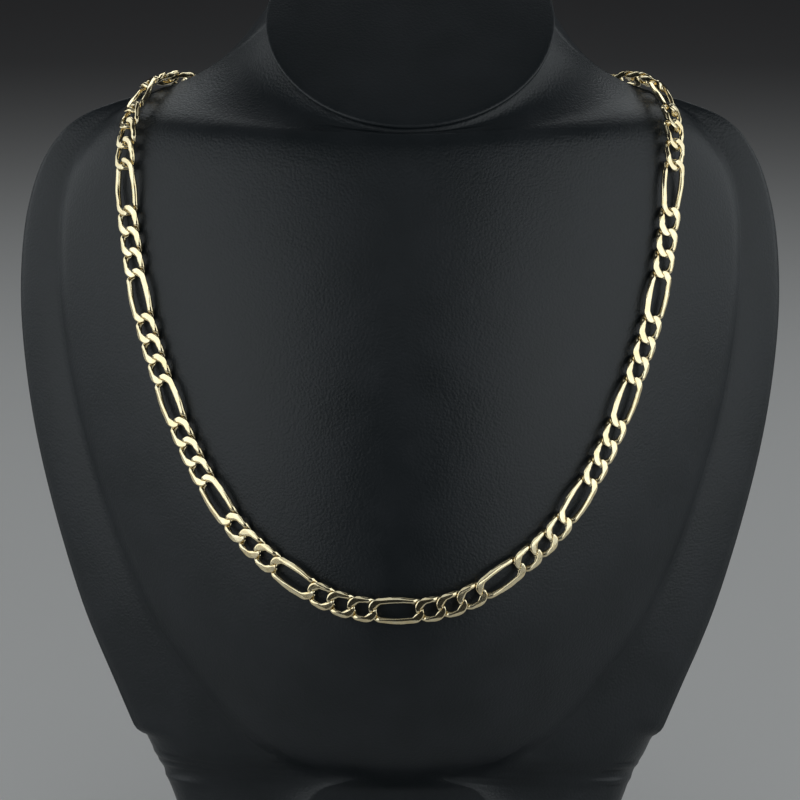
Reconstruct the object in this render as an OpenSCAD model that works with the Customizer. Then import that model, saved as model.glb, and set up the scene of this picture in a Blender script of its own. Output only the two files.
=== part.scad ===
// Figaro chain, worn on a covered neck bust.
// Three short twisted links follow each long one. The loop closes at the nape.

/* [Chain] */
// Width of the chain, across its links
link_width = 8; // [7.6:0.1:8.6]
// Outer length of a short link
short_length = 10.8; // [10.2:0.1:12]
// Outer length of a long link
long_length = 18.4; // [16:0.1:22]
// Thickness of the wire that the links are bent from
wire = 1.9; // [1.7:0.05:1.95]
// Thickness of the chain between its two cut faces
cut_thickness = 2.2; // [2:0.05:2.4]
// Free space between two links that meet, drawn straight
link_gap = 0.4; // [0.36:0.02:0.44]
// Short links after each long one
shorts_per_long = 3; // [1:1:5]
// Free space between the chain and the bust
seat_gap = 0.3; // [0.2:0.05:0.6]

/* [Clasp] */
// Length of the clasp, eye included
clasp_length = 16; // [14:0.5:20]
// Width of the clasp
clasp_width = 5.4; // [5:0.1:6]
// Thickness of the clasp's body
clasp_thickness = 2.4; // [1.6:0.1:3]
// Thickness of the clasp's flat eye and hook
eye_thickness = 1; // [0.8:0.1:1.2]
// Outer length of the two rings beside the clasp
ring_length = 7; // [6.6:0.1:8.4]
// Width of the two rings
ring_width = 5.4; // [5:0.1:6]
// Thickness of the rings' wire
ring_wire = 1; // [0.8:0.05:1.1]

/* [Bust] */
// Length of the chest and neck, from the chest's low tip to the cap's centre
form_length = 238; // [222:2:254]
// Width of the chest panel at its crease
chest_width = 213; // [195:1:225]
// Width of the backing's rim behind the chest
rim_width = 244; // [232:1:260]
// Height of the chest panel in front of its crease
chest_depth = 48; // [40:1:54]
// Distance from the crease's low tip to the upright back
form_depth = 90; // [78:1:110]
// Height of the chest's low tip above the ground
tip_height = 46; // [40:1:60]
// Width of the neck at its cap
neck_width = 88; // [80:1:96]
// Sideways shift of the neck's top
neck_shift = 3.4; // [0:0.2:6]
// Angle by which the chest leans back
lean = 15; // [10:1:18]

/* [Cap] */
// Height of the cap's centre in front of the crease
cap_forward = 15; // [10:1:20]
// Angle by which the cap faces up from the chest's front
cap_tilt = 37; // [32:1:42]
// Thickness of the cap
cap_thickness = 3; // [2:0.5:5]
// Amount by which the cap stands out past the neck
cap_overhang = 1.2; // [0.5:0.1:3]
// Free space between the cap and the neck
cap_gap = 0.3; // [0.1:0.1:0.5]

/* [Hidden] */
gold = "#e3c57f";
leatherette = "#2c3034";

// Sections of the bust, from the foot up to the cap. Columns are shares:
// height of form_length, panel width of chest_width, panel and rim width of neck_width,
// rim width of rim_width, front of chest_depth, side of chest_depth,
// rim of chest_depth, roundness power of the front, slant of the cap's angle,
// roundness power of the back, and share of the slant that the back rises with.
UP = 0;
PANEL = 1;
NECK = 2;
RIM = 3;
FRONT = 4;
SIDE = 5;
FLARE = 6;
POWER = 7;
SLANT = 8;
BACK = 9;
RISE = 10;
SECTIONS = [
    [-0.060, 0.30, 0, 0.602, -0.19, -0.25, -0.46, 2.0, 0, 0.5, 0],
    [-0.020, 0.24, 0, 0.635, -0.16, -0.20, -0.44, 2.0, 0, 0.5, 0],
    [0.000, 0.12, 0, 0.652, 0.02, -0.04, -0.42, 2.0, 0, 0.5, 0],
    [0.020, 0.29, 0, 0.673, 0.20, 0.00, -0.40, 2.0, 0, 0.5, 0],
    [0.065, 0.44, 0, 0.708, 0.40, 0.00, -0.38, 2.0, 0, 0.5, 0],
    [0.140, 0.585, 0, 0.770, 0.64, 0.00, -0.36, 2.0, 0, 0.5, 0],
    [0.235, 0.735, 0, 0.846, 0.80, 0.00, -0.34, 2.0, 0, 0.5, 0],
    [0.437, 0.905, 0, 0.955, 0.96, 0.00, -0.31, 2.0, 0, 0.5, 0],
    [0.605, 0.985, 0, 1.000, 1.00, 0.00, -0.28, 2.0, 0, 0.5, 0],
    [0.726, 1.000, 0, 0.994, 0.98, 0.00, -0.25, 1.9, 0, 0.5, 0],
    [0.807, 0.975, 0, 0.956, 0.95, 0.00, -0.19, 1.7, 0.04, 0.6, 0],
    [0.857, 0.910, 0, 0.900, 0.93, 0.00, -0.12, 1.45, 0.13, 0.7, 0],
    [0.887, 0.840, 0, 0.826, 0.91, 0.00, -0.07, 1.25, 0.21, 0.9, 0],
    [0.909, 0.750, 0, 0.700, 0.90, 0.00, -0.04, 1.12, 0.28, 1.1, 0],
    [0.927, 0.320, 0.80, 0.290, 0.90, 0.02, -0.02, 1.04, 0.36, 1.1, 0.2],
    [0.950, 0.120, 1.03, 0.110, 0.89, 0.10, 0.06, 1.0, 0.50, 1.0, 0.65],
    [0.975, 0.030, 1.05, 0.030, 0.88, 0.20, 0.16, 1.0, 0.72, 1.0, 1],
    [1.000, 0, 0.985, 0.004, 0.88, 0.3125, 0.30, 1.0, 1, 1.0, 1]
];

// Route of the chain over one half of the bust, from the low centre to the nape.
// Columns: angle round the bust's section, height as a share of form_length,
// height of the wire's middle above the lowest seat, and how far the chain is
// turned about its own run, where the slope of the shoulder falls off to the back.
ROUTE = [
    [0, 0.235, 0.2, 0],
    [12, 0.243, 0.2, 0],
    [22, 0.275, 0.2, 0],
    [33, 0.338, 0.2, 0],
    [40.6, 0.435, 0.2, 0],
    [45.2, 0.540, 0.2, 0],
    [48.4, 0.634, 0.2, 0],
    [50.9, 0.728, 0.2, 0],
    [53, 0.788, 0.5, 2],
    [57, 0.838, 1.1, 6],
    [66, 0.881, 1.1, 13],
    [84, 0.907, 2.4, 8],
    [105, 0.920, 2.4, 6],
    [134, 0.914, 1.3, -14],
    [153, 0.907, 1.5, -11],
    [180, 0.910, 1.5, 0]
];

// Steps of the bust's mesh
ring_steps = 2;
front_steps = 10;
back_steps = 7;
// Width of the foot as a share of the lowest section
foot_share = 0.86;
// Places of the flare's columns between crease and rim, and how deep they dip
FLARE_STEPS = [[0.16, 0.34], [0.55, 0.55]];
// Angle of the first column behind the crease
rim_angle = 90.001;
// Steps over which the surface's direction is measured, and their distance from the crease
direction_angle = 0.6;
direction_height = 0.003;
crease_angle = 1;

chest_r = chest_width / 2;
rim_r = rim_width / 2;
neck_r = neck_width / 2;
cap_r = neck_r + cap_overhang;
half_cut = cut_thickness / 2;
wire_r = wire / 2;
ring_r = ring_wire / 2;
eye_wall = 1;
// How far a wire's middle moves forward or back where it crosses its neighbour
link_lift = wire_r + link_gap;
ring_lift = ring_r + eye_thickness / 2 + link_gap;
// Step between the sections of a link's round ends
end_step = 30;
// A cut wire's section: distance of its widest corners from the cut faces as a share of
// its thickness, and least half width of a face as a share of the wire's radius
corner_share = 0.35;
face_share = 0.45;

// Values read from a table of rows, along a smooth curve through the rows
function row_slope(t, i) =
    let(a = max(i - 1, 0), b = min(i + 1, len(t) - 1))
    (t[b] - t[a]) / (t[b][UP] - t[a][UP]);
function row_index(t, h, i = 0) = i >= len(t) - 2 || h < t[i + 1][UP] ? i : row_index(t, h, i + 1);
function row_at(t, h) =
    let(
        i = row_index(t, h),
        d = t[i + 1][UP] - t[i][UP],
        f = (h - t[i][UP]) / d,
        f2 = f * f,
        f3 = f2 * f
    )
    (2 * f3 - 3 * f2 + 1) * t[i] + (f3 - 2 * f2 + f) * d * row_slope(t, i)
        + (3 * f2 - 2 * f3) * t[i + 1] + (f3 - f2) * d * row_slope(t, i + 1);

// A place across, up and out from the leaning chest, in upright axes
function upright(x, up, out) = [
    x,
    up * sin(lean) - out * cos(lean),
    up * cos(lean) + out * sin(lean) + tip_height
];
// Out from the crease to the upright back, at a height up the lean
function back_out(up) = (up * sin(lean) - form_depth) / cos(lean);

// A point of the bust's surface: h is its height share, a its angle from the front
function form_point(h, a) =
    let(
        row = row_at(SECTIONS, h),
        c = cos(a),
        s = sin(a),
        up = h * form_length,
        panel = row[PANEL] * chest_r + row[NECK] * neck_r,
        rim = row[RIM] * rim_r + row[NECK] * neck_r,
        side = row[SIDE] * chest_depth,
        flare = row[FLARE] * chest_depth,
        slanted_back = cap_forward - neck_r * sin(cap_tilt),
        bend = row[SLANT] / tan(cap_tilt),
        back = (1 - row[SLANT]) * back_out(up) + row[SLANT] * slanted_back,
        front = side + (row[FRONT] * chest_depth - side) * pow(max(c, 0), row[POWER]),
        rear = flare + (back - flare) * pow(max(-c, 0), row[BACK]),
        out = c >= 0 ? front : rear,
        x = (c >= 0 ? panel : rim) * s,
        shift = neck_shift * row[SLANT]
    )
    upright(x + shift, up - bend * (c >= 0 ? 1 : row[RISE]) * (out - side), out);
// A point of the flare between the chest's crease and the rim, on side s
function flare_point(h, s, step) =
    let(a = form_point(h, s * 90), b = form_point(h, s * rim_angle))
    a + (b - a) * step[0] + (step[1] - step[0]) * [0, b[1] - a[1], b[2] - a[2]];

front_angles = [for (i = [-front_steps:front_steps]) 90 * i / front_steps];
back_angles = [for (i = [0:2 * back_steps]) rim_angle + (180 - rim_angle) * i / back_steps];
function form_ring(h) = concat(
    [for (a = front_angles) form_point(h, a)],
    [for (step = FLARE_STEPS) flare_point(h, 1, step)],
    [for (a = back_angles) form_point(h, a)],
    [for (i = [len(FLARE_STEPS) - 1:-1:0]) flare_point(h, -1, FLARE_STEPS[i])]
);
// The lowest ring, carried down the lean to the ground
function ground_ring(ring) = [
    for (p = ring) [p[0] * foot_share, p[1] - p[2] * tan(lean), 0]
];

// Triangles of a closed stack of rings with flat ends
function stack_faces(rings, n) = concat(
    [[for (j = [0:n - 1]) j]],
    [
        for (i = [0:rings - 2], j = [0:n - 1], half = [0, 1])
            let(a = i * n + j, b = i * n + (j + 1) % n)
            half == 0 ? [a, a + n, b] : [b, a + n, b + n]
    ],
    [[for (j = [n - 1:-1:0]) (rings - 1) * n + j]]
);

// Heights of the rings: those of the sections and, between each two, as many steps
ring_heights = concat([
    for (i = [0:len(SECTIONS) - 2], k = [0:ring_steps - 1])
        SECTIONS[i][UP] + (SECTIONS[i + 1][UP] - SECTIONS[i][UP]) * k / ring_steps
], [1]);
form_stack = [for (h = ring_heights) form_ring(h)];

// The chain's route as places and outward directions on the bust
function unit(v) = v / norm(v);
function form_normal(h, a) =
    let(
        across = form_point(h, a + direction_angle) - form_point(h, a - direction_angle),
        along = form_point(h + direction_height, a) - form_point(h - direction_height, a)
    )
    unit(cross(across, along));
function seat(row) =
    let(
        off = abs(row[0]),
        clear = off > 90 ? max(off, 90 + crease_angle) : min(off, 90 - crease_angle),
        a = clear * (row[0] < 0 ? -1 : 1),
        n = form_normal(row[1], a)
    )
    concat(form_point(row[1], a) + n * (seat_gap + half_cut + row[2]), n);
whole_route = concat(
    [for (i = [len(ROUTE) - 1:-1:1]) [-ROUTE[i][0], ROUTE[i][1], ROUTE[i][2], ROUTE[i][3]]],
    ROUTE
);
seats = [for (row = whole_route) seat(row)];
function place_of(row) = [row[0], row[1], row[2]];
// The outward direction at a seat, turned about the chain's run
function turned_out(i) =
    let(
        last = len(seats) - 1,
        run = unit(place_of(seats[min(i + 1, last)]) - place_of(seats[max(i - 1, 0)])),
        out = [seats[i][3], seats[i][4], seats[i][5]]
    )
    unit(out + tan(whole_route[i][3]) * cross(run, out));
turned_outs = [for (i = [0:len(seats) - 1]) turned_out(i)];
// The links even out how the bust's surface turns below them
function eased_out(i) =
    unit(turned_outs[max(i - 1, 0)] + 2 * turned_outs[i] + turned_outs[min(i + 1, len(seats) - 1)]);
function lengths_along(rows, i = 1, total = 0) =
    i >= len(rows) ? [total]
    : concat([total], lengths_along(rows, i + 1, total + norm(place_of(rows[i]) - place_of(rows[i - 1]))));
seat_lengths = lengths_along(seats);
path = [for (i = [0:len(seats) - 1]) concat([seat_lengths[i]], place_of(seats[i]), eased_out(i))];
path_length = seat_lengths[len(seats) - 1];
function path_place(s) = let(r = row_at(path, s)) [r[1], r[2], r[3]];
function path_out(s) = let(r = row_at(path, s)) unit([r[4], r[5], r[6]]);

// The next joint along the path, at a straight distance from the last one
function next_joint(s, reach, turns = 4, guess = undef) =
    let(g = is_undef(guess) ? s + reach : guess)
    turns == 0 ? g
    : next_joint(s, reach, turns - 1, s + (g - s) * abs(reach) / norm(path_place(g) - path_place(s)));

// Distance between the two joints of each piece: its length without its two end wires
short_pitch = short_length - 2 * wire - link_gap;
long_pitch = long_length - 2 * wire - link_gap;
ring_pitch = ring_length - 2 * ring_wire - link_gap;
clasp_pitch = clasp_length - 2 * eye_wall - link_gap;
fastening = 2 * ring_pitch + clasp_pitch;

// From the long link at the low centre, each side repeats the shorts and then a long
function is_long(i) = i % (shorts_per_long + 1) == 0;
function pitch_of(i) = is_long(i) ? long_pitch : short_pitch;
function side_length(n) = n == 0 ? long_pitch / 2 : side_length(n - 1) + pitch_of(n);
side_room = (path_length - fastening) / 2;
function links_in(room, n = 0) =
    side_length(n) + pitch_of(n + 1) / 2 > room ? n : links_in(room, n + 1);
side_links = links_in(side_room);
function joints(i, s, slack) =
    i > side_links ? [s] : concat([s], joints(i + 1, next_joint(s, pitch_of(i) + slack), slack));
start = next_joint(path_length / 2, long_pitch / 2);
loose_joints = joints(1, start, 0);
slack = ((path_length - fastening / 2) - loose_joints[side_links]) / side_links;
side_joints = joints(1, start, slack);

module place() {
    translate([0, -middle_y, 0]) children();
}

module bust_form() {
    all_rings = concat([ground_ring(form_stack[0])], form_stack);
    n = len(form_stack[0]);
    color(leatherette) place() polyhedron(
        points = [for (ring = all_rings, p = ring) p],
        faces = stack_faces(len(all_rings), n),
        convexity = 6
    );
}

module neck_cap() {
    centre = upright(neck_shift, form_length, cap_forward);
    color(leatherette) place() translate(centre) rotate([90 - lean - cap_tilt, 0, 0])
        translate([0, 0, cap_gap]) rotate_extrude($fn = 96) {
            square([cap_r - cap_thickness / 2, cap_thickness]);
            translate([cap_r - cap_thickness / 2, cap_thickness / 2]) intersection() {
                circle(d = cap_thickness, $fn = 32);
                translate([0, -cap_thickness / 2]) square([cap_thickness / 2, cap_thickness]);
            }
        }
}

// A bent wire link, alike at both ends. It lies in front of its neighbours at two
// opposite quarters and behind them at the other two, and is cut flat front and back.
end_angles = [for (a = [-90:end_step:90]) a];
function wire_section(height, r, cut) =
    let(
        top = min(cut, height + r),
        low = max(-cut, height - r),
        span = top - low,
        mid = min(max(height, low + corner_share * span), top - corner_share * span),
        half = function(z) r * max(face_share, sqrt(max(0, 1 - pow((z - height) / r, 2))))
    )
    [
        [half(low), low], [half(mid), mid], [half(top), top],
        [-half(top), top], [-half(mid), mid], [-half(low), low]
    ];
function link_rings(length, width, r, lift, cut) =
    let(bend = width / 2 - r, straight = (length - width) / 2)
    [
        for (side = [1, -1], a = end_angles)
            let(
                turn = side > 0 ? a : a + 180,
                height = -lift * sign(sin(2 * a)) * min(1, abs(sin(2 * a)) / sin(2 * end_step)),
                out = [cos(turn), sin(turn)],
                middle = [side * straight, 0] + bend * out
            )
            [for (q = wire_section(height, r, cut)) [each (middle + q[0] * out), q[1]]]
    ];
module bent_link(length, width, r, lift, cut) {
    rings = link_rings(length, width, r, lift, cut);
    n = len(rings);
    m = len(rings[0]);
    polyhedron(
        points = [for (ring = rings, p = ring) p],
        faces = [
            for (i = [0:n - 1], j = [0:m - 1], half = [0, 1])
                let(
                    a = i * m + j,
                    b = i * m + (j + 1) % m,
                    c = ((i + 1) % n) * m + j,
                    d = ((i + 1) % n) * m + (j + 1) % m
                )
                half == 0 ? [a, b, c] : [b, d, c]
        ],
        convexity = 4
    );
}

// Puts a piece between two places of the path, flat against the bust
module between(s, t) {
    a = path_place(s);
    b = path_place(t);
    x = unit(b - a);
    out = path_out(s) + path_out(t);
    z = unit(out - x * (out * x));
    y = cross(z, x);
    c = (a + b) / 2;
    multmatrix([
        [x[0], y[0], z[0], c[0]],
        [x[1], y[1], z[1], c[1]],
        [x[2], y[2], z[2], c[2]]
    ]) children();
}

module side_pieces(long) {
    for (i = [1:side_links]) if (is_long(i) == long) {
        between(side_joints[i - 1], side_joints[i]) children();
        between(path_length - side_joints[i], path_length - side_joints[i - 1]) children();
    }
}

module short_links() {
    color(gold) place() side_pieces(false)
        bent_link(short_length, link_width, wire_r, link_lift, half_cut);
}

module long_links() {
    color(gold) place() {
        side_pieces(true) bent_link(long_length, link_width, wire_r, link_lift, half_cut);
        between(path_length - start, start)
            bent_link(long_length, link_width, wire_r, link_lift, half_cut);
    }
}

// The nape's joints, from the last link of the right side to that of the left
right_end = side_joints[side_links];
right_ring = right_end + ring_pitch;
left_end = path_length - right_end;
left_ring = left_end - ring_pitch;

module round_ring() {
    bent_link(ring_length, ring_width, ring_r, ring_lift, ring_lift + ring_r);
}

module end_ring() {
    color(gold) place() between(right_end, right_ring) round_ring();
}

module clasp_ring() {
    color(gold) place() between(left_ring, left_end) round_ring();
}

module clasp() {
    end_r = clasp_width / 2;
    reach = clasp_length / 2 - end_r;
    color(gold) place() between(right_ring, left_ring) difference() {
        union() {
            translate([-reach, -end_r, -eye_thickness / 2])
                cube([2 * reach, clasp_width, eye_thickness]);
            for (side = [-1, 1]) translate([side * reach, 0, 0])
                cylinder(r = end_r, h = eye_thickness, center = true, $fn = 48);
            cylinder(r = end_r, h = clasp_thickness, center = true, $fn = 48);
        }
        for (side = [-1, 1]) translate([side * reach, 0, 0])
            cylinder(r = end_r - eye_wall, h = clasp_thickness, center = true, $fn = 48);
    }
}

// Depth of the whole thing, so that it stands over the middle of its own box
form_ys = [for (ring = form_stack, p = ring) p[1]];
path_ys = [for (row = path) row[2] + row[5] * half_cut];
middle_y = (min(concat(form_ys, path_ys)) + max(concat(form_ys, path_ys))) / 2;

short_links();
long_links();
clasp();
clasp_ring();
end_ring();
bust_form();
neck_cap();
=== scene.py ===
import math

import bmesh
import bpy
import numpy as np
from mathutils import Matrix, Vector


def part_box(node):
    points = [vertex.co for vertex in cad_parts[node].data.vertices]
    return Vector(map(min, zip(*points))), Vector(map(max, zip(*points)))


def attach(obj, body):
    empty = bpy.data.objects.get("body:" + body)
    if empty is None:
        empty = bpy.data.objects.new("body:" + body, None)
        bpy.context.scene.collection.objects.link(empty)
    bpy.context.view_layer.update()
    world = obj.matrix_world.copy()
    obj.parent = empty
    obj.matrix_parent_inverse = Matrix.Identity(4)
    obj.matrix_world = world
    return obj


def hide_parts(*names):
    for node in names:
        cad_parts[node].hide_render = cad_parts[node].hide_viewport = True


# Figaro chain on a covered neck bust. The CAD frame holds every link's place;
# here each link is bent again from round wire, pressed flat and polished.

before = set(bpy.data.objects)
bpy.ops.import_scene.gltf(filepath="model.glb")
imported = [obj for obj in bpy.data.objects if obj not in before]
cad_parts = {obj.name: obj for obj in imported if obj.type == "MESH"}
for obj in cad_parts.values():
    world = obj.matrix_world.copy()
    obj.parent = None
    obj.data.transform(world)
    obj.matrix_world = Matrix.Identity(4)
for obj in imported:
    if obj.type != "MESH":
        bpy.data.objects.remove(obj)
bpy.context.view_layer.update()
print("frame loaded:", ", ".join(sorted(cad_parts)))

mm = 0.001
mergeDistance = 0.001 * mm
sharpAngle = 60
upwardShare = 0.5    # how much upwards counts beside outwards when a link's face is found


def newPiece(name, bm, material, nodeName=None):
    bmesh.ops.recalc_face_normals(bm, faces=bm.faces)
    mesh = bpy.data.meshes.new(name)
    bm.to_mesh(mesh)
    bm.free()
    mesh.materials.append(material)
    mesh.shade_smooth()
    mesh.set_sharp_from_angle(angle=math.radians(sharpAngle))
    piece = bpy.data.objects.new(name, mesh)
    bpy.context.scene.collection.objects.link(piece)
    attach(piece, "root")
    if nodeName:
        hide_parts(nodeName)
    return piece


def mergeClose(bm):
    bmesh.ops.remove_doubles(bm, verts=bm.verts, dist=mergeDistance)


def mergedCopy(nodeName):
    bm = bmesh.new()
    bm.from_mesh(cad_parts[nodeName].data)
    mergeClose(bm)
    return bm


def onlyVerts(geom):
    return [item for item in geom if isinstance(item, bmesh.types.BMVert)]


def onlyEdges(geom):
    return [item for item in geom if isinstance(item, bmesh.types.BMEdge)]


# Where each loose part of a CAD node lies: a matrix with x along it and z off the bust
def looseParts(nodeName):
    bm = mergedCopy(nodeName)
    left = set(bm.verts)
    places = []
    while left:
        part = {left.pop()}
        reached = list(part)
        while reached:
            v = reached.pop()
            for edge in v.link_edges:
                other = edge.other_vert(v)
                if other not in part:
                    part.add(other)
                    reached.append(other)
        left -= part
        points = np.array([v.co for v in part])
        centre = points.mean(0)
        axes = np.linalg.eigh(np.cov((points - centre).T))[1]
        x, z = Vector(axes[:, 2]), Vector(axes[:, 0])
        outwards = Vector((centre[0], centre[1], 0)).normalized()
        if z.dot(outwards + Vector((0, 0, upwardShare))) < 0:
            z.negate()
        y = z.cross(x)
        turn = Matrix((x, y, z)).transposed().to_4x4()
        places.append(Matrix.Translation(Vector(centre)) @ turn)
    bm.free()
    places.sort(key=lambda m: (m.translation.x, m.translation.z))
    return places


def addNode(tree, kind, at, **values):
    node = tree.nodes.new(kind)
    node.location = at
    for key, value in values.items():
        setattr(node, key, value)
    return node


def setInputs(node, values):
    for label, value in values.items():
        node.inputs[label].default_value = value


def setRamp(node, positions, colours):
    for stop, position, colour in zip(node.color_ramp.elements, positions, colours):
        stop.position = position
        stop.color = colour


def newGroup(name, inputs, outputs):
    group = bpy.data.node_groups.new(name, "ShaderNodeTree")
    for label, kind in inputs:
        group.interface.new_socket(label, in_out="INPUT", socket_type=kind)
    for label, kind in outputs:
        group.interface.new_socket(label, in_out="OUTPUT", socket_type=kind)
    start = addNode(group, "NodeGroupInput", (-900, 0))
    end = addNode(group, "NodeGroupOutput", (700, 0))
    return group, start, end


def newMaterial(name):
    material = bpy.data.materials.new(name)
    material.use_nodes = True
    return material, material.node_tree.nodes["Principled BSDF"]


leatherette = {
    "pebbleScale": 1250,
    "pebbleSmoothness": 0.45,
    "poreScale": 5200,
    "poreShare": 0.35,
    "warpScale": 500,
    "warpSize": 0.5 * mm,
    "mottleScale": 60,
    "mottleStops": (0.35, 0.7),
    "bump": 0.8,
    "bumpDistance": 0.09 * mm,
    "dark": (0.005, 0.008, 0.010, 1),
    "light": (0.010, 0.013, 0.016, 1),
    "roughness": (0.36, 0.47),
    "specular": 0.38,
}


# Pebbled grain of covering film, with finer pores between, as a height
def leatherGrainGroup():
    group, start, end = newGroup(
        "leatherGrain",
        [("Vector", "NodeSocketVector"), ("Pebble Scale", "NodeSocketFloat"),
         ("Pore Scale", "NodeSocketFloat")],
        [("Height", "NodeSocketFloat"), ("Mottle", "NodeSocketFloat")])
    link = group.links.new
    warp = addNode(group, "ShaderNodeTexNoise", (-700, -200))
    setInputs(warp, {"Scale": leatherette["warpScale"], "Detail": 2})
    shift = addNode(group, "ShaderNodeVectorMath", (-520, -100), operation="MULTIPLY_ADD")
    shift.inputs[1].default_value = (leatherette["warpSize"],) * 3
    pebble = addNode(group, "ShaderNodeTexVoronoi", (-340, 100), feature="SMOOTH_F1")
    setInputs(pebble, {"Smoothness": leatherette["pebbleSmoothness"]})
    pore = addNode(group, "ShaderNodeTexNoise", (-340, -200))
    setInputs(pore, {"Detail": 4})
    mottle = addNode(group, "ShaderNodeTexNoise", (-340, -450))
    setInputs(mottle, {"Scale": leatherette["mottleScale"], "Detail": 5})
    mix = addNode(group, "ShaderNodeMath", (-100, 0), operation="MULTIPLY_ADD")
    mix.inputs[1].default_value = -1.0    # pebbles are highest in their middles
    small = addNode(group, "ShaderNodeMath", (-100, -200), operation="MULTIPLY")
    small.inputs[1].default_value = leatherette["poreShare"]
    link(start.outputs["Vector"], warp.inputs["Vector"])
    link(warp.outputs["Color"], shift.inputs[0])
    link(start.outputs["Vector"], shift.inputs[2])
    link(shift.outputs[0], pebble.inputs["Vector"])
    link(start.outputs["Pebble Scale"], pebble.inputs["Scale"])
    link(start.outputs["Vector"], pore.inputs["Vector"])
    link(start.outputs["Pore Scale"], pore.inputs["Scale"])
    link(start.outputs["Vector"], mottle.inputs["Vector"])
    link(pore.outputs["Fac"], small.inputs[0])
    link(pebble.outputs["Distance"], mix.inputs[0])
    link(small.outputs[0], mix.inputs[2])
    link(mix.outputs[0], end.inputs["Height"])
    link(mottle.outputs["Fac"], end.inputs["Mottle"])
    return group


def leatherMaterial():
    material, shader = newMaterial("blackLeatherette")
    tree = material.node_tree
    link = tree.links.new
    where = addNode(tree, "ShaderNodeTexCoord", (-1100, 0))
    grain = addNode(tree, "ShaderNodeGroup", (-900, 0), node_tree=leatherGrainGroup())
    setInputs(grain, {"Pebble Scale": leatherette["pebbleScale"],
                      "Pore Scale": leatherette["poreScale"]})
    colour = addNode(tree, "ShaderNodeValToRGB", (-600, 200))
    setRamp(colour, leatherette["mottleStops"], (leatherette["dark"], leatherette["light"]))
    rough = addNode(tree, "ShaderNodeMapRange", (-600, -50))
    setInputs(rough, dict(zip(("To Min", "To Max"), leatherette["roughness"])))
    bump = addNode(tree, "ShaderNodeBump", (-300, -300))
    setInputs(bump, {"Strength": leatherette["bump"], "Distance": leatherette["bumpDistance"]})
    setInputs(shader, {"Specular IOR Level": leatherette["specular"]})
    link(where.outputs["Object"], grain.inputs["Vector"])
    link(grain.outputs["Mottle"], colour.inputs["Fac"])
    link(grain.outputs["Mottle"], rough.inputs["Value"])
    link(grain.outputs["Height"], bump.inputs["Height"])
    link(colour.outputs["Color"], shader.inputs["Base Color"])
    link(rough.outputs["Result"], shader.inputs["Roughness"])
    link(bump.outputs["Normal"], shader.inputs["Normal"])
    return material


goldFinish = {
    "colour": (1.0, 0.885, 0.60, 1),
    "deep": (0.95, 0.78, 0.45, 1),
    "toneScale": 500,
    "toneStops": (0.3, 0.65),
    "roughness": (0.09, 0.17),
    "roughFrom": (0.3, 0.7),
    "brushScale": (9000, 500, 1),
    "bump": 0.04,
    "bumpDistance": 0.004 * mm,
}


def goldMaterial():
    material, shader = newMaterial("polishedGold")
    tree = material.node_tree
    link = tree.links.new
    where = addNode(tree, "ShaderNodeTexCoord", (-1100, 0))
    flat = addNode(tree, "ShaderNodeUVMap", (-1100, -300), uv_map="linkMap")
    stretch = addNode(tree, "ShaderNodeMapping", (-900, -300))
    setInputs(stretch, {"Scale": goldFinish["brushScale"]})
    brush = addNode(tree, "ShaderNodeTexNoise", (-700, -300))
    setInputs(brush, {"Scale": 1, "Detail": 3})
    tone = addNode(tree, "ShaderNodeTexNoise", (-700, 100))
    setInputs(tone, {"Scale": goldFinish["toneScale"], "Detail": 3})
    colour = addNode(tree, "ShaderNodeValToRGB", (-450, 200))
    setRamp(colour, goldFinish["toneStops"], (goldFinish["deep"], goldFinish["colour"]))
    rough = addNode(tree, "ShaderNodeMapRange", (-450, -50))
    setInputs(rough, dict(zip(("From Min", "From Max"), goldFinish["roughFrom"])))
    setInputs(rough, dict(zip(("To Min", "To Max"), goldFinish["roughness"])))
    bump = addNode(tree, "ShaderNodeBump", (-300, -300))
    setInputs(bump, {"Strength": goldFinish["bump"], "Distance": goldFinish["bumpDistance"]})
    setInputs(shader, {"Metallic": 1})
    link(where.outputs["Object"], tone.inputs["Vector"])
    link(flat.outputs["UV"], stretch.inputs["Vector"])
    link(stretch.outputs["Vector"], brush.inputs["Vector"])
    link(tone.outputs["Fac"], colour.inputs["Fac"])
    link(brush.outputs["Fac"], rough.inputs["Value"])
    link(brush.outputs["Fac"], bump.inputs["Height"])
    link(colour.outputs["Color"], shader.inputs["Base Color"])
    link(rough.outputs["Result"], shader.inputs["Roughness"])
    link(bump.outputs["Normal"], shader.inputs["Normal"])
    return material


leather = leatherMaterial()
gold = goldMaterial()
print("materials made: blackLeatherette, polishedGold")

# The links. Angles are in degrees round the bend, from 0 at the tip to 90 at the corner
# where the sides begin.
linkShape = {
    "width": 8.0 * mm,
    "wire": 1.95 * mm,
    "rise": 1.3 * mm,    # how far the wire's middle lifts where it crosses its neighbour
    "high": 0.66,    # shares of the rise that are left at the corners
    "low": -0.08,
    "ease": (42, 48),    # angle where the lift begins to go there, and over how many degrees
    "crossing": 15,    # degrees it takes from above to below at the tip
    "press": 1.02 * mm,    # half the thickness that the flats are pressed to
    "drop": 0.14 * mm,    # how far the flats' rims round off, and how steeply that goes on
    "dropSlope": 0.25 * mm,
    "rim": (0.3, 0.62),    # heights in the wire, as shares of its radius, for the rounding
    "lobe": 1.45,    # how much broader the wire is pressed to the inside
    "lobeFrom": (10, 34),    # angles over which that comes and goes
    "lobeTo": (52, 100),
    "tip": 0.62,    # how narrow the wire is at the tip
    "tipTo": (4, 30),    # angles over which it widens again
    "slantTilt": 24,    # lean of the slanted sides, and where they cut the wire
    "slantLift": 0.3 * mm,
    "slantDepth": 0.7 * mm,
    "bow": 0,    # how far the sides curve outwards, and how softly that starts
    "bowEase": 1.5,
    "wireSteps": 18,
    "endSteps": 24,
}
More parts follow.
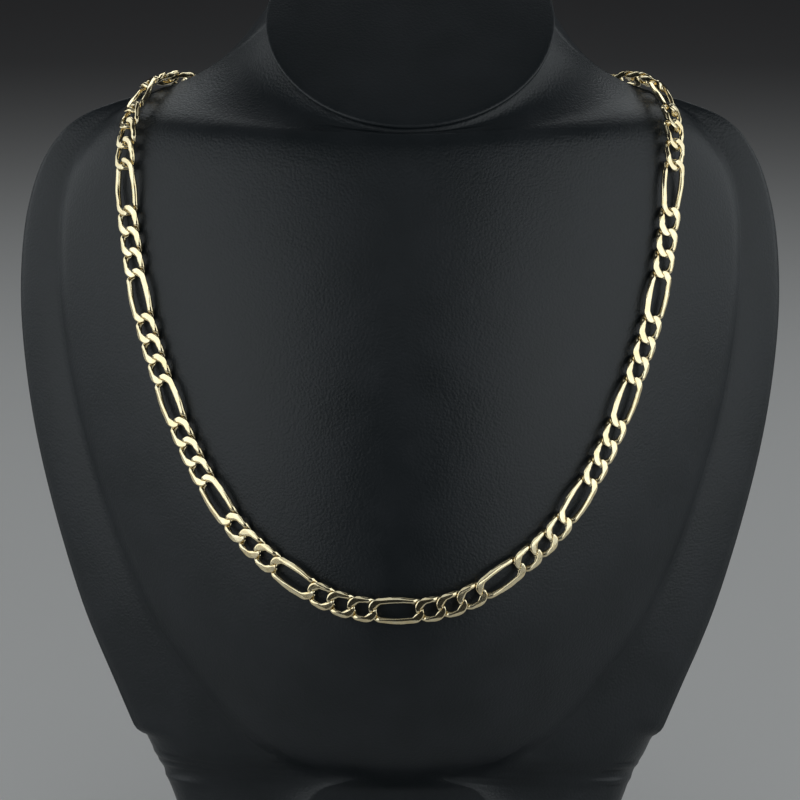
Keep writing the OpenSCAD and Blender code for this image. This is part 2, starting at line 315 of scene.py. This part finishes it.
# Length is taken before the ends are pressed. In front the finished links are 9.25 and
# 16.85 mm long, and the looser ones behind 10.7 and 18.3 mm, against 10.8 and 18.4 mm in
# the CAD. All the long ones are 8.64 mm wide, against 8.0 mm.
shortLinks = {"length": 9.95 * mm, "legSteps": 4}
longLinks = {"length": 17.55 * mm, "legSteps": 14, "bow": 0.32 * mm}
# From the shoulders to the nape, where the chain bends most, the links are looser
looseFrom = -6.0 * mm
longerBy = 0.75 * mm
looseLinks = {"wire": 1.78 * mm, "rise": 1.35 * mm, "high": 0.3, "low": 0.3,
              "press": 1.08 * mm, "lobe": 1.0, "tip": 1.0}
# Each link's own map: its brush marks are turned and shifted against the last one's
linkMap = {"firstTurn": 40, "nextTurn": 23, "turns": 7, "shift": 0.05}
flatWeight = 80    # above 50, large faces count more in the shading


# A closed oval of round wire: half of it is spun and drawn out, then turned for the rest
def wireOval(length, width, wire, wireSteps, endSteps, legSteps):
    bm = bmesh.new()
    bend = (width - wire) / 2
    straight = (length - width) / 2
    ring = bmesh.ops.create_circle(bm, segments=wireSteps, radius=wire / 2)["verts"]
    bmesh.ops.rotate(bm, verts=ring, matrix=Matrix.Rotation(math.pi / 2, 3, "Y"))
    bmesh.ops.translate(bm, verts=ring, vec=(straight, -bend, 0))
    grown = bmesh.ops.spin(bm, geom=bm.edges[:], cent=(straight, 0, 0), axis=(0, 0, 1),
                           angle=math.pi, steps=endSteps)["geom_last"]
    last = onlyEdges(grown)
    for step in range(legSteps):
        made = bmesh.ops.extrude_edge_only(bm, edges=last)["geom"]
        bmesh.ops.translate(bm, verts=onlyVerts(made), vec=(-2 * straight / legSteps, 0, 0))
        last = onlyEdges(made)
    other = bmesh.ops.duplicate(bm, geom=bm.verts[:] + bm.edges[:] + bm.faces[:])["geom"]
    bmesh.ops.rotate(bm, verts=onlyVerts(other), matrix=Matrix.Rotation(math.pi, 3, "Z"))
    mergeClose(bm)
    return bm


def ramp(value, low, high):
    share = min(1, max(0, (value - low) / (high - low)))
    return share * share * (3 - 2 * share)


# Lifts the wire over and under its neighbours at the four corners, and presses it
def twistOval(bm, length, s):
    bend = (s["width"] - s["wire"]) / 2
    straight = (length - s["width"]) / 2
    radius = s["wire"] / 2
    easeFrom, easeOver = s["ease"]

    def shareAt(angle):    # of rise, from the tip at 0 to the corner at 90 degrees
        size = abs(angle)
        ease = 0.5 - 0.5 * math.cos(math.pi * min(1, max(0, (size - easeFrom) / easeOver)))
        left = s["high"] if angle < 0 else s["low"]
        return -math.copysign(math.tanh(size / s["crossing"]), angle) * (1 + (left - 1) * ease)

    for v in bm.verts:
        side = 1 if v.co.x >= 0 else -1
        past = v.co.x * side - straight
        if past > 0:
            angle = math.degrees(math.atan2(v.co.y * side, past))
            across, along = math.cos(math.radians(angle)), math.sin(math.radians(angle))
            share = shareAt(angle)
            climb = shareAt(angle + 1) - shareAt(angle - 1)
            slope = s["rise"] * climb / (2 * math.radians(1) * bend)
            run = Vector((-along, across, 0)) * side
            out = Vector((across, along, 0)) * side
            middle = Vector((straight * side, 0, 0)) + out * bend
            bow = 0
        else:
            up = 1 if v.co.y > 0 else -1
            share = s["high"] - (s["high"] + s["low"]) * ramp(v.co.x * up, -straight, straight)
            slope = 0
            run = Vector((-up, 0, 0))
            out = Vector((0, up, 0))
            middle = Vector((v.co.x, up * bend, 0))
            bow = s["bow"] * (1 - (v.co.x / straight) ** 2) ** s["bowEase"]
        wide = (v.co - middle).dot(out)
        thick = v.co.z
        lean = math.atan(slope)
        if past > 0:    # the lobes are pressed broader on the inside, and the ends narrower
            size = abs(angle)
            if wide < 0:
                broader = (s["lobe"] - 1) * ramp(size, *s["lobeFrom"])
                wide *= 1 + broader * (1 - ramp(size, *s["lobeTo"]))
            wide *= s["tip"] + (1 - s["tip"]) * ramp(size, *s["tipTo"])
        v.co = (middle + out * (wide + bow) - run * math.sin(lean) * thick
                + Vector((0, 0, 1)) * (s["rise"] * share + math.cos(lean) * thick))
        pressFlat(v, thick / radius, bend + bow, s)


# Presses one point of the wire to the flats, with a rounded rim, and to the slanted sides
def pressFlat(v, height, bend, s):
    tilt = math.radians(s["slantTilt"])
    rimLow, rimHigh = s["rim"]
    for face in (1, -1):
        rim = height * face
        level = (s["press"] - s["drop"] * (1 - ramp(rim, rimLow, rimHigh))
                 - s["dropSlope"] * max(0, rimLow - rim))
        if v.co.z * face > level:
            v.co.z = level * face
        up = 1 if v.co.y > 0 else -1
        over = ((v.co.y * up - bend) * math.sin(tilt)
                + (v.co.z * face - s["slantLift"]) * math.cos(tilt) - s["slantDepth"])
        if over > 0:
            v.co -= Vector((0, up * math.sin(tilt), face * math.cos(tilt))) * over


def bentLink(length, legSteps, **changes):
    s = {**linkShape, **changes}
    bm = wireOval(length, s["width"], s["wire"], s["wireSteps"], s["endSteps"], legSteps)
    twistOval(bm, length, s)
    return bm


# Puts a copy of one link at each place, with a map of its own across the flats. The last
# shape is for the looser places behind.
def linkSet(name, nodeName, places, shapes):
    patterns = []
    for number, shape in enumerate(shapes):
        patterns.append(bpy.data.meshes.new(f"{name}Pattern{number}"))
        shape.to_mesh(patterns[-1])
        shape.free()
    bm = bmesh.new()
    uv = bm.loops.layers.uv.new("linkMap")
    for number, place in enumerate(places):
        before = len(bm.faces)
        known = len(bm.verts)
        bm.from_mesh(patterns[-1 if place.translation.y > looseFrom else 0])
        bm.verts.ensure_lookup_table()
        bm.faces.ensure_lookup_table()
        turned = linkMap["nextTurn"] * (number % linkMap["turns"])
        turn = math.radians(linkMap["firstTurn"] + turned)
        shift = linkMap["shift"] * number
        for face in bm.faces[before:]:
            for loop in face.loops:
                x, y = loop.vert.co.x, loop.vert.co.y
                loop[uv].uv = (x * math.cos(turn) - y * math.sin(turn) + shift,
                               x * math.sin(turn) + y * math.cos(turn))
        bmesh.ops.transform(bm, matrix=place, verts=bm.verts[known:])
    for pattern in patterns:
        bpy.data.meshes.remove(pattern)
    piece = newPiece(name, bm, gold, nodeName)
    crisp = piece.modifiers.new("crispFlats", "WEIGHTED_NORMAL")
    crisp.keep_sharp = True
    crisp.weight = flatWeight
    triangles = sum(len(p.vertices) - 2 for p in piece.data.polygons)
    print(name, len(places), "placed,", triangles, "triangles")


for name, node, sizes in (("shortLinkSet", "short_links", shortLinks),
                          ("longLinkSet", "long_links", longLinks)):
    looser = {**sizes, **looseLinks, "length": sizes["length"] + longerBy}
    linkSet(name, node, looseParts(node), [bentLink(**sizes), bentLink(**looser)])

bustCover = {
    "flatAngle": 25,
    "shapeAngle": 50,
    "creaseAngle": 28,
    "crease": 0.75,
    "hollowCrease": 1,
    "softBetween": (0.1 * mm, 52 * mm),
    "levels": 2,
}


def coverBust():
    bm = mergedCopy("bust_form")
    bmesh.ops.join_triangles(bm, faces=bm.faces,
                             angle_face_threshold=math.radians(bustCover["flatAngle"]),
                             angle_shape_threshold=math.radians(bustCover["shapeAngle"]))
    layer = bm.edges.layers.float.new("crease_edge")
    softFrom, softTo = bustCover["softBetween"]
    sharp = math.radians(bustCover["creaseAngle"])
    for edge in bm.edges:
        high = max(v.co.z for v in edge.verts)
        if softFrom < high < softTo:    # the foot is rounded off
            continue
        if len(edge.link_faces) == 2 and edge.calc_face_angle() > sharp:
            edge[layer] = bustCover["crease"] if edge.is_convex else bustCover["hollowCrease"]
    piece = newPiece("bustCover", bm, leather, "bust_form")
    smooth = piece.modifiers.new("smooth", "SUBSURF")
    smooth.levels = smooth.render_levels = bustCover["levels"]


coverBust()
print("bust covered")

# The cap: a thin padded disc with a rolled edge, and the neck's own rim under it.
# The profile's rows are radius and height in mm.
capCover = {
    "profile": [(0, 3.75), (12, 3.7), (22, 3.55), (30, 3.22), (36, 2.72), (40, 2.2),
                (42.6, 1.78), (44.2, 1.46), (44.85, 1.25), (45.1, 0.95), (45.1, 0.3),
                (44.7, 0), (43.5, 0), (0, 0)],
    "steps": 160,
    "rimRadius": 44.1 * mm,
    "rimWire": 1.1 * mm,
    "rimDrop": 1.0 * mm,
    "rimSteps": 10,
}


# The cap's place is read from its CAD node: its flat back gives the centre and the slant
def capPlace():
    bm = mergedCopy("neck_cap")
    areas = {}
    for face in bm.faces:
        key = tuple(round(c, 2) for c in face.normal)
        areas[key] = areas.get(key, 0) + face.calc_area()
    ends = sorted(areas, key=areas.get)[-2:]
    z = Vector(max(ends, key=lambda n: n[2])).normalized()
    points = [v.co.copy() for v in bm.verts]
    bm.free()
    centre = sum(points, Vector()) / len(points)
    centre += z * (min(p.dot(z) for p in points) - centre.dot(z))
    x = Vector((1, 0, 0))
    y = z.cross(x)
    return Matrix.Translation(centre) @ Matrix((x, y, z)).transposed().to_4x4()


# Spins an outline round the cap's own axis and sets it in the cap's place
def spinCap(bm, outline):
    bmesh.ops.spin(bm, geom=outline, cent=(0, 0, 0), axis=(0, 0, 1), angle=2 * math.pi,
                   steps=capCover["steps"], use_merge=True)
    mergeClose(bm)
    bmesh.ops.transform(bm, matrix=capPlace(), verts=bm.verts)


def coverCap():
    bm = bmesh.new()
    verts = [bm.verts.new((r * mm, 0, z * mm)) for r, z in capCover["profile"]]
    edges = [bm.edges.new(pair) for pair in zip(verts, verts[1:])]
    spinCap(bm, verts + edges)
    newPiece("capCover", bm, leather, "neck_cap")

    bm = bmesh.new()
    ring = bmesh.ops.create_circle(bm, segments=capCover["rimSteps"],
                                   radius=capCover["rimWire"] / 2)["verts"]
    bmesh.ops.rotate(bm, verts=ring, matrix=Matrix.Rotation(math.pi / 2, 3, "X"))
    bmesh.ops.translate(bm, verts=ring, vec=(capCover["rimRadius"], 0, -capCover["rimDrop"]))
    spinCap(bm, bm.verts[:] + bm.edges[:])
    newPiece("neckRim", bm, leather)


coverCap()
print("cap covered")

# The fastening at the nape, hidden in front: two round rings, and a claw with an eye and
# a lever
ringShape = {"length": 7.0 * mm, "width": 5.4 * mm, "wire": 1.0 * mm, "rise": 1.4 * mm,
             "high": 0.1, "low": 0.1, "crossing": 22, "press": 3 * mm, "slantDepth": 3 * mm,
             "lobe": 1, "tip": 1, "wireSteps": 12, "endSteps": 24, "legSteps": 4}
# Rows of x, y and half thickness in mm: the body with its hook, and the lever that shuts it
clawShape = {
    "body": [(-3.3, 0, 0.7), (-2.7, 0.25, 1.15), (-1.5, 0.85, 1.28), (0.2, 1.4, 1.12),
             (2.2, 1.72, 0.9), (4.2, 1.9, 0.72), (5.7, 1.82, 0.62), (6.9, 1.2, 0.56),
             (7.42, 0, 0.53), (6.9, -1.25, 0.5), (5.7, -1.9, 0.46), (4.6, -2.08, 0.42),
             (4.3, -2.09, 0.2)],
    "lever": [(-2.9, -0.45, 0.3), (-2.3, -0.85, 0.62), (-1.0, -1.5, 0.6), (1.0, -1.95, 0.5),
              (3.0, -2.1, 0.44), (4.2, -2.1, 0.4), (4.5, -2.1, 0.2)],
    "eyeLength": 5.0 * mm,
    "eyeStraight": 0.02 * mm,
    "eyeWire": 1.05 * mm,
    "eyeSteps": (14, 24, 1),
    "eyeAt": -5.5 * mm,
    "thumb": (0.75 * mm, 0.5 * mm, 0.5 * mm),
    "thumbAt": (-0.2 * mm, -2.15 * mm, 0),
    "thumbSteps": (16, 10),
    "segments": 14,
    "steps": 5,
}


# A round bar through rows of x, y and half thickness, smooth between them
def sweepBar(rows, segments, steps):
    rows = [Vector(row) * mm for row in rows]
    last = len(rows) - 1
    path = []
    for i in range(last):
        before, here, there, after = (rows[max(0, min(last, i + k))] for k in (-1, 0, 1, 2))
        for t in (k / steps for k in range(steps)):
            path.append(0.5 * (2 * here + (there - before) * t
                               + (2 * before - 5 * here + 4 * there - after) * t ** 2
                               + (3 * here - before - 3 * there + after) * t ** 3))
    path.append(rows[-1])
    bm = bmesh.new()
    bmesh.ops.create_circle(bm, segments=segments, radius=1)
    bmesh.ops.rotate(bm, verts=bm.verts, matrix=Matrix.Rotation(math.pi / 2, 3, "Y"))
    shape = [v.co.copy() for v in bm.verts]
    ring = bm.edges[:]
    for i, row in enumerate(path):
        ahead = path[min(i + 1, len(path) - 1)] - path[max(i - 1, 0)]
        turn = Matrix.Rotation(math.atan2(ahead.y, ahead.x), 3, "Z")
        if i:
            grown = bmesh.ops.extrude_edge_only(bm, edges=ring)["geom"]
            ring = onlyEdges(grown)
            verts = onlyVerts(grown)
        else:
            verts = bm.verts[:]
        for v, unit in zip(verts, shape):
            v.co = Vector((row.x, row.y, 0)) + turn @ (unit * row.z)
    bmesh.ops.holes_fill(bm, edges=bm.edges, sides=0)
    return bm


def addShape(bm, other):
    keep = bpy.data.meshes.new("keep")
    other.to_mesh(keep)
    other.free()
    bm.from_mesh(keep)
    bpy.data.meshes.remove(keep)


def fastening():
    for name, node in (("claspRing", "clasp_ring"), ("endRing", "end_ring")):
        linkSet(name, node, looseParts(node), [bentLink(**ringShape)])
    c = clawShape
    bm = sweepBar(c["body"], c["segments"], c["steps"])
    addShape(bm, sweepBar(c["lever"], c["segments"], c["steps"]))
    eye = wireOval(c["eyeLength"], c["eyeLength"] - c["eyeStraight"], c["eyeWire"],
                   *c["eyeSteps"])
    bmesh.ops.translate(eye, verts=eye.verts, vec=(c["eyeAt"], 0, 0))
    addShape(bm, eye)
    around, upwards = c["thumbSteps"]
    thumb = bmesh.ops.create_uvsphere(bm, u_segments=around, v_segments=upwards,
                                      radius=1)["verts"]
    bmesh.ops.scale(bm, verts=thumb, vec=c["thumb"])
    bmesh.ops.translate(bm, verts=thumb, vec=c["thumbAt"])
    place = looseParts("clasp")[0]
    ring = sum(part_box("end_ring"), Vector()) / 2
    if (ring - place.translation).dot(place.col[0].xyz) < 0:    # the hook holds the end ring
        place = place @ Matrix.Rotation(math.pi, 4, "Z")
    linkSet("lobsterClaw", "clasp", [place], [bm])


fastening()
print("fastening made")

floorLook = {"material": "paleFloor", "size": (8, 8), "place": (0, 0, 0),
             "colour": (0.62, 0.61, 0.60, 1), "roughness": 0.6}
# A black card low in front, as a studio uses: what the lowest links mirror
flagLook = {"material": "blackCard", "size": (0.56, 0.9), "place": (0, -0.73, 0.01),
            "colour": (0.01, 0.01, 0.01, 1), "roughness": 0.9}


def stageSheet(name, look):
    bm = bmesh.new()
    bmesh.ops.create_grid(bm, x_segments=1, y_segments=1, size=0.5)
    bmesh.ops.scale(bm, vec=(*look["size"], 1), verts=bm.verts)
    bmesh.ops.translate(bm, vec=look["place"], verts=bm.verts)
    mesh = bpy.data.meshes.new(name)
    bm.to_mesh(mesh)
    bm.free()
    material, shader = newMaterial(look["material"])
    setInputs(shader, {"Base Color": look["colour"], "Roughness": look["roughness"]})
    mesh.materials.append(material)
    sheet = bpy.data.objects.new(name, mesh)
    bpy.context.scene.collection.objects.link(sheet)
    return sheet


stageSheet("floor", floorLook)
flag = stageSheet("flag", flagLook)
flag.visible_camera = False
flag.visible_shadow = False
flag.visible_diffuse = False

cameraSetup = {
    "aim": (0.9 * mm, -40.0 * mm, 172.1 * mm),
    "elevation": 15,
    "azimuth": 0.7,
    "distance": 950 * mm,
    "lens": 140.5,
    "sensor": 36,
    "clipStart": 0.01,
}


def aimed(obj, place, aim):
    obj.location = place
    obj.rotation_euler = (Vector(aim) - Vector(place)).to_track_quat("-Z", "Y").to_euler()


def placeCamera():
    data = bpy.data.cameras.new("camera")
    data.lens = cameraSetup["lens"]
    data.sensor_width = cameraSetup["sensor"]
    data.clip_start = cameraSetup["clipStart"]
    camera = bpy.data.objects.new("camera", data)
    bpy.context.scene.collection.objects.link(camera)
    up, swing = math.radians(cameraSetup["elevation"]), math.radians(cameraSetup["azimuth"])
    away = Vector((math.sin(swing) * math.cos(up), -math.cos(swing) * math.cos(up),
                   math.sin(up)))
    aim = Vector(cameraSetup["aim"])
    aimed(camera, aim + away * cameraSetup["distance"], aim)
    bpy.context.scene.camera = camera


placeCamera()

lightSetup = {
    "left": {"place": (-0.95, 0.2, 0.45), "aim": (0, 0, 0.16),
             "size": (1.0, 0.82), "power": 2.5},
    "right": {"place": (0.95, 0.2, 0.45), "aim": (0, 0, 0.16),
              "size": (1.0, 0.82), "power": 2.7},
    "lowLeft": {"place": (-0.36, -0.29, 0.27), "aim": (0.02, -0.04, 0.27),
                "size": (0.44, 0.46), "power": 0.8},
    "lowRight": {"place": (0.36, -0.29, 0.27), "aim": (-0.02, -0.04, 0.27),
                 "size": (0.44, 0.46), "power": 0.82},
    "front": {"place": (0, -0.86, 0.62), "aim": (0, -0.05, 0.14),
              "size": (0.9, 0.26), "power": 0.42},
    "top": {"place": (0, -0.1, 0.95), "aim": (0, 0, 0.2),
            "size": (0.6, 0.4), "power": 0.22},
    "back": {"place": (0, 0.8, 0.95), "aim": (0, 0, 0.16),
             "size": (1.2, 0.5), "power": 3.0},
}
lightColour = (0.93, 0.98, 1)
worldLook = {"Color": (0.9, 0.92, 1, 1), "Strength": 0.02}


def setLights():
    for name, light in lightSetup.items():
        data = bpy.data.lights.new(name, "AREA")
        data.shape = "RECTANGLE"
        data.size, data.size_y = light["size"]
        data.energy = light["power"]
        data.color = lightColour
        lamp = bpy.data.objects.new(name, data)
        bpy.context.scene.collection.objects.link(lamp)
        lamp.visible_camera = False
        aimed(lamp, light["place"], light["aim"])
    world = bpy.data.worlds.new("studio")
    world.use_nodes = True
    setInputs(world.node_tree.nodes["Background"], worldLook)
    bpy.context.scene.world = world
    bpy.context.scene.view_settings.view_transform = "Standard"


setLights()
print("floor, camera and lights set")
